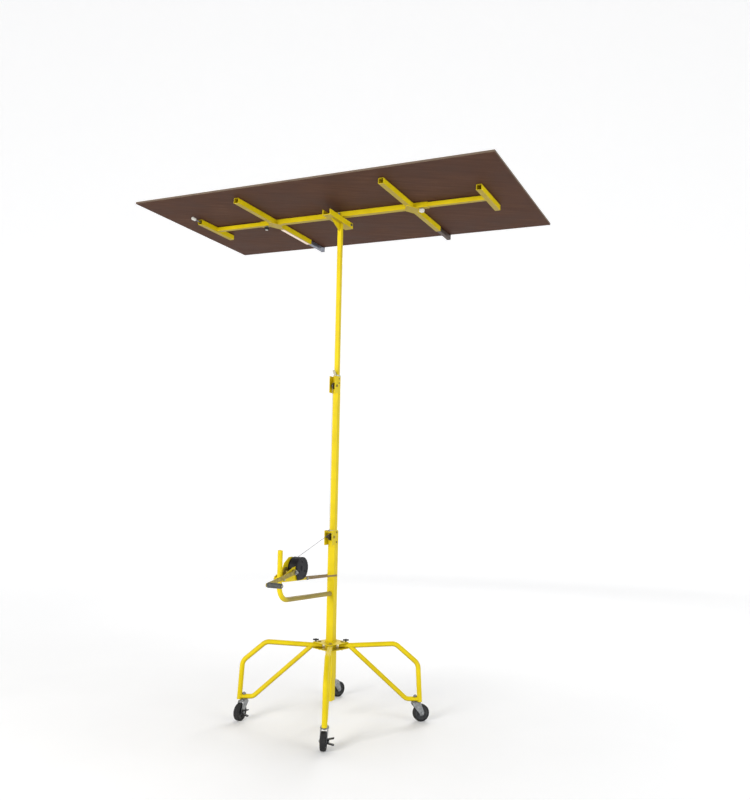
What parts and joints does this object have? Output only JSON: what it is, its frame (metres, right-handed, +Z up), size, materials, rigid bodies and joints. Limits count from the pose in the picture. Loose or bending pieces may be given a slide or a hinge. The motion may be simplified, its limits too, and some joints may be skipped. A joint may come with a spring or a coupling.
{
  "type": "drywall lift",
  "caption": "Wheeled lift with a telescopic mast, hand winch and tilting cradle that raises and holds a sheet of board against a ceiling",
  "frame": {"origin": "on the floor, on the axis of the mast", "axes": "+Z up, +X along the right leg, +Y along the back leg, away from the viewer; the winch points between -X and -Y"},
  "size_m": [2.7271, 2.1772, 3.2406],
  "materials": {
    "yellow_paint": "glossy yellow powder coat",
    "zinc": "dull zinc plate",
    "steel_cable": "galvanised wire rope",
    "black_paint": "satin black",
    "tyre_rubber": "matt rubber",
    "wheel_plastic": "moulded grey",
    "guide_plastic": "off-white nylon",
    "knob_plastic": "pale moulded knob",
    "black_plastic": "black moulded plastic",
    "grip_plastic": "grey grip",
    "board_film": "brown film-faced board"
  },
  "bodies": {
    "base": {"leg_hub": "yellow_paint", "frame_bolts": "zinc", "front_leg": "yellow_paint", "back_leg": "yellow_paint", "base_mast_tube": "yellow_paint", "base_top_guide": "guide_plastic", "lower_pulley_bracket": "yellow_paint", "winch_arm_tube": "yellow_paint", "winch_frame": "yellow_paint", "drum_cover": "black_paint", "lift_cable_run": "steel_cable", "lift_cable_drop": "steel_cable", "upper_cable_run": "steel_cable"},
    "right_folding_leg": {"right_leg": "yellow_paint", "right_caster_bolt": "zinc"},
    "left_folding_leg": {"left_leg": "yellow_paint", "left_caster_bolt": "zinc"},
    "right_clamp": {"right_leg_knob": "black_plastic"},
    "left_clamp": {"left_leg_knob": "black_plastic"},
    "middle_mast": {"middle_mast_tube": "yellow_paint", "middle_foot_guide": "guide_plastic", "middle_top_guide": "guide_plastic", "upper_pulley_bracket": "yellow_paint", "upper_pulley_bolts": "zinc", "upper_cable_wrap": "steel_cable", "upper_cable_drop": "steel_cable"},
    "top_mast": {"top_mast_tube": "yellow_paint", "top_foot_guide": "guide_plastic", "mast_head": "yellow_paint"},
    "tilt": {"tilt_bracket": "yellow_paint", "tilt_bolts": "zinc"},
    "cradle": {"cradle_beam": "yellow_paint", "left_crossarm": "yellow_paint", "right_crossarm": "yellow_paint"},
    "right_extension": {"right_beam_extension": "yellow_paint"},
    "left_extension": {"left_beam_extension": "yellow_paint"},
    "right_hook": {"right_hook_bar": "zinc"},
    "left_hook": {"left_hook_bar": "zinc"},
    "right_beam_clamp": {"right_beam_knob": "knob_plastic"},
    "left_beam_clamp": {"left_beam_knob": "knob_plastic"},
    "carried_board": {"board": "board_film"},
    "low_pulley": {"lower_sheave": "zinc"},
    "high_pulley": {"upper_sheave": "zinc"},
    "drum": {"winch_drum": "black_paint"},
    "crank": {"crank_arm": "zinc"},
    "crank_handle": {"crank_grip": "grip_plastic"},
    "right_caster": {"right_caster_fork": "zinc"},
    "right_wheel": {"right_caster_wheel": "wheel_plastic", "right_caster_tyre": "tyre_rubber"},
    "back_caster": {"back_caster_fork": "zinc"},
    "back_wheel": {"back_caster_wheel": "wheel_plastic", "back_caster_tyre": "tyre_rubber"},
    "left_caster": {"left_caster_fork": "zinc"},
    "left_wheel": {"left_caster_wheel": "wheel_plastic", "left_caster_tyre": "tyre_rubber"},
    "left_brake": {"left_caster_brake": "black_plastic"},
    "front_caster": {"front_caster_fork": "zinc"},
    "front_wheel": {"front_caster_wheel": "wheel_plastic", "front_caster_tyre": "tyre_rubber"},
    "front_brake": {"front_caster_brake": "black_plastic"}
  },
  "joints": [
    {"name": "right_caster_swivel", "type": "hinge", "parent": "right_folding_leg", "child": "right_caster", "pos_m": [0.52, 0, 0.114], "axis": [0, 0, 1], "continuous": true},
    {"name": "right_wheel_spin", "type": "hinge", "parent": "right_caster", "child": "right_wheel", "pos_m": [0.55671, 0.00983, 0.05], "axis": [-0.2588, 0.9659, 0], "continuous": true},
    {"name": "back_caster_swivel", "type": "hinge", "parent": "base", "child": "back_caster", "pos_m": [0, 0.52, 0.114], "axis": [0, 0, 1], "continuous": true},
    {"name": "back_wheel_spin", "type": "hinge", "parent": "back_caster", "child": "back_wheel", "pos_m": [0.02911, 0.54443, 0.05], "axis": [-0.6428, 0.766, 0], "continuous": true},
    {"name": "left_caster_swivel", "type": "hinge", "parent": "left_folding_leg", "child": "left_caster", "pos_m": [-0.52, 0, 0.114], "axis": [0, 0, 1], "continuous": true},
    {"name": "left_wheel_spin", "type": "hinge", "parent": "left_caster", "child": "left_wheel", "pos_m": [-0.53606, -0.03444, 0.05], "axis": [0.9063, -0.4226, 0], "continuous": true},
    {"name": "left_brake_press", "type": "hinge", "parent": "left_caster", "child": "left_brake", "pos_m": [-0.53606, -0.03444, 0.05], "axis": [0.9063, -0.4226, 0], "range_deg": [-20, 20]},
    {"name": "front_caster_swivel", "type": "hinge", "parent": "base", "child": "front_caster", "pos_m": [0, -0.52, 0.114], "axis": [0, 0, 1], "continuous": true},
    {"name": "front_wheel_spin", "type": "hinge", "parent": "front_caster", "child": "front_wheel", "pos_m": [-0.00265, -0.55791, 0.05], "axis": [0.9976, -0.0698, 0], "continuous": true},
    {"name": "front_brake_press", "type": "hinge", "parent": "front_caster", "child": "front_brake", "pos_m": [-0.00265, -0.55791, 0.05], "axis": [0.9976, -0.0698, 0], "range_deg": [-20, 20]},
    {"name": "right_leg_fold", "type": "hinge", "parent": "base", "child": "right_folding_leg", "pos_m": [0.068, 0, 0.442], "axis": [0, 0, 1], "range_deg": [0, 75]},
    {"name": "left_leg_fold", "type": "hinge", "parent": "base", "child": "left_folding_leg", "pos_m": [-0.068, 0, 0.442], "axis": [0, 0, 1], "range_deg": [0, 75]},
    {"name": "right_leg_knob_turn", "type": "hinge", "parent": "base", "child": "right_clamp", "pos_m": [0.092, 0, 0.47], "axis": [0, 0, 1], "range_deg": [-180, 180]},
    {"name": "left_leg_knob_turn", "type": "hinge", "parent": "base", "child": "left_clamp", "pos_m": [-0.092, 0, 0.47], "axis": [0, 0, 1], "range_deg": [-180, 180]},
    {"name": "mast_middle_slide", "type": "slide", "parent": "base", "child": "middle_mast", "axis": [0, 0, 1], "range_m": [-0.84, 0], "deforming": ["lift_cable_drop", "upper_cable_run"]},
    {"name": "mast_top_slide", "type": "slide", "parent": "middle_mast", "child": "top_mast", "axis": [0, 0, 1], "range_m": [-0.84, 0], "deforming": ["upper_cable_drop"]},
    {"name": "lower_sheave_spin", "type": "hinge", "parent": "base", "child": "low_pulley", "pos_m": [-0.01767, -0.0356, 1.098], "axis": [0.8957, -0.4446, 0], "range_deg": [-2410, 5]},
    {"name": "upper_sheave_spin", "type": "hinge", "parent": "middle_mast", "child": "high_pulley", "pos_m": [-0.01567, -0.03157, 2.04], "axis": [0.8957, -0.4446, 0], "range_deg": [-2410, 5]},
    {"name": "winch_drum_spin", "type": "hinge", "parent": "base", "child": "drum", "pos_m": [-0.18675, -0.3762, 0.941], "axis": [0.8957, -0.4446, 0], "range_deg": [-870, 5]},
    {"name": "crank_turn", "type": "hinge", "parent": "base", "child": "crank", "pos_m": [-0.22498, -0.45323, 0.925], "axis": [0.8957, -0.4446, 0], "range_deg": [-5, 1925]},
    {"name": "crank_grip_spin", "type": "hinge", "parent": "crank", "child": "crank_handle", "pos_m": [-0.26798, -0.74225, 0.884], "axis": [0.8957, -0.4446, 0], "continuous": true},
    {"name": "cradle_side_tilt", "type": "hinge", "parent": "top_mast", "child": "tilt", "pos_m": [0.04224, 0.08509, 3.129], "axis": [0.8957, -0.4446, 0], "range_deg": [-65, 0]},
    {"name": "cradle_end_tilt", "type": "hinge", "parent": "tilt", "child": "cradle", "pos_m": [0, 0, 3.1687], "axis": [0.4446, 0.8957, 0], "range_deg": [-11, 7]},
    {"name": "right_extension_slide", "type": "slide", "parent": "cradle", "child": "right_extension", "axis": [0.8952, -0.4444, -0.0349], "range_m": [-0.365, 0.1]},
    {"name": "left_extension_slide", "type": "slide", "parent": "cradle", "child": "left_extension", "axis": [-0.8952, 0.4444, 0.0349], "range_m": [-0.365, 0.1]},
    {"name": "right_hook_slide", "type": "slide", "parent": "cradle", "child": "right_hook", "axis": [0.4446, 0.8957, 0], "range_m": [0, 0.12]},
    {"name": "left_hook_slide", "type": "slide", "parent": "cradle", "child": "left_hook", "axis": [0.4446, 0.8957, 0], "range_m": [0, 0.12]},
    {"name": "right_beam_knob_turn", "type": "hinge", "parent": "cradle", "child": "right_beam_clamp", "pos_m": [0.51385, -0.25508, 3.12095], "axis": [0.0313, -0.0155, 0.9994], "range_deg": [-180, 180]},
    {"name": "left_beam_knob_turn", "type": "hinge", "parent": "cradle", "child": "left_beam_clamp", "pos_m": [-0.51559, 0.25594, 3.16108], "axis": [0.0313, -0.0155, 0.9994], "range_deg": [-180, 180]},
    {"name": "board_lift_off", "type": "slide", "parent": "cradle", "child": "carried_board", "axis": [0.0313, -0.0155, 0.9994], "range_m": [0, 0.15]}
  ],
  "couplings": [
    {"joint": "mast_top_slide", "follows": "mast_middle_slide", "ratio": 1},
    {"joint": "lower_sheave_spin", "follows": "mast_middle_slide", "rad_per_m": 50},
    {"joint": "upper_sheave_spin", "follows": "mast_middle_slide", "rad_per_m": 50},
    {"joint": "winch_drum_spin", "follows": "mast_middle_slide", "rad_per_m": 17.921},
    {"joint": "crank_turn", "follows": "mast_middle_slide", "rad_per_m": -39.825}
  ]
}
